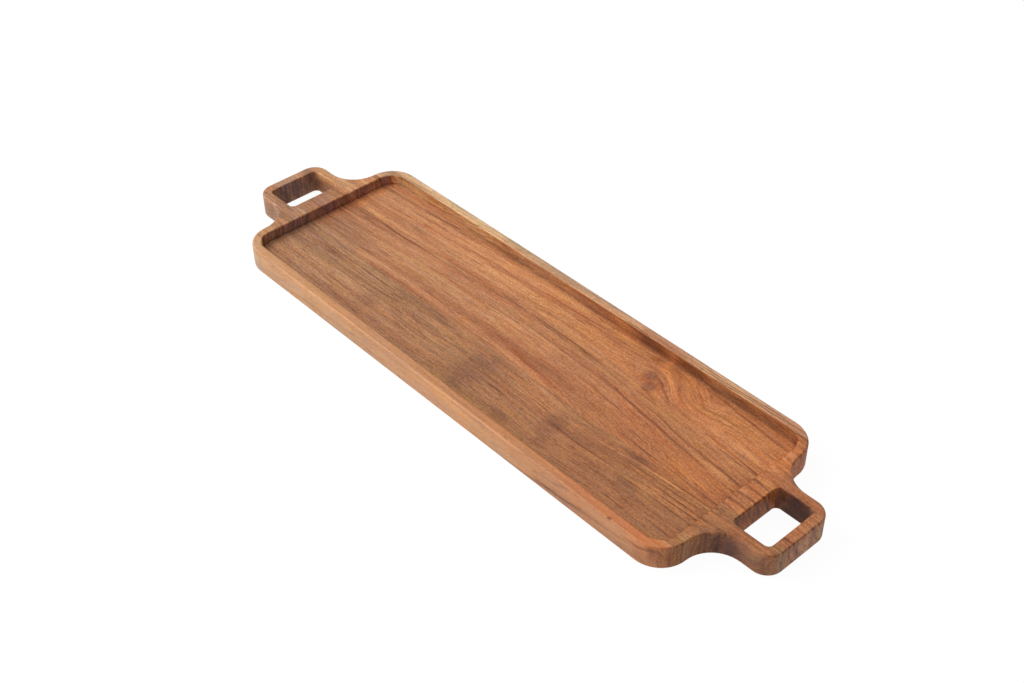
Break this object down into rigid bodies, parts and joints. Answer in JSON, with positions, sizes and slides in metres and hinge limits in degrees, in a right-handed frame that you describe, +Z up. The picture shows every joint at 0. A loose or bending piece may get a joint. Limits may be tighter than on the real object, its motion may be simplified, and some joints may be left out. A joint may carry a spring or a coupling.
{
  "type": "serving tray",
  "caption": "Long shallow wooden serving tray with rounded corners, a recessed floor with a raised rim, and a looped handle at each end.",
  "frame": {"origin": "centre of the underside, where the tray rests on a table", "axes": "+X along the length towards one handle, +Y across the width towards the side edge that the wide board carries, +Z up"},
  "size_m": [0.7, 0.2, 0.025],
  "materials": {
    "light_wood": "sanded and oiled, satin",
    "brown_wood": "sanded and oiled, satin",
    "warm_wood": "sanded and oiled, satin"
  },
  "bodies": {
    "root": {"front_strip": "light_wood", "front_board": "brown_wood", "rear_board": "warm_wood"}
  },
  "joints": []
}
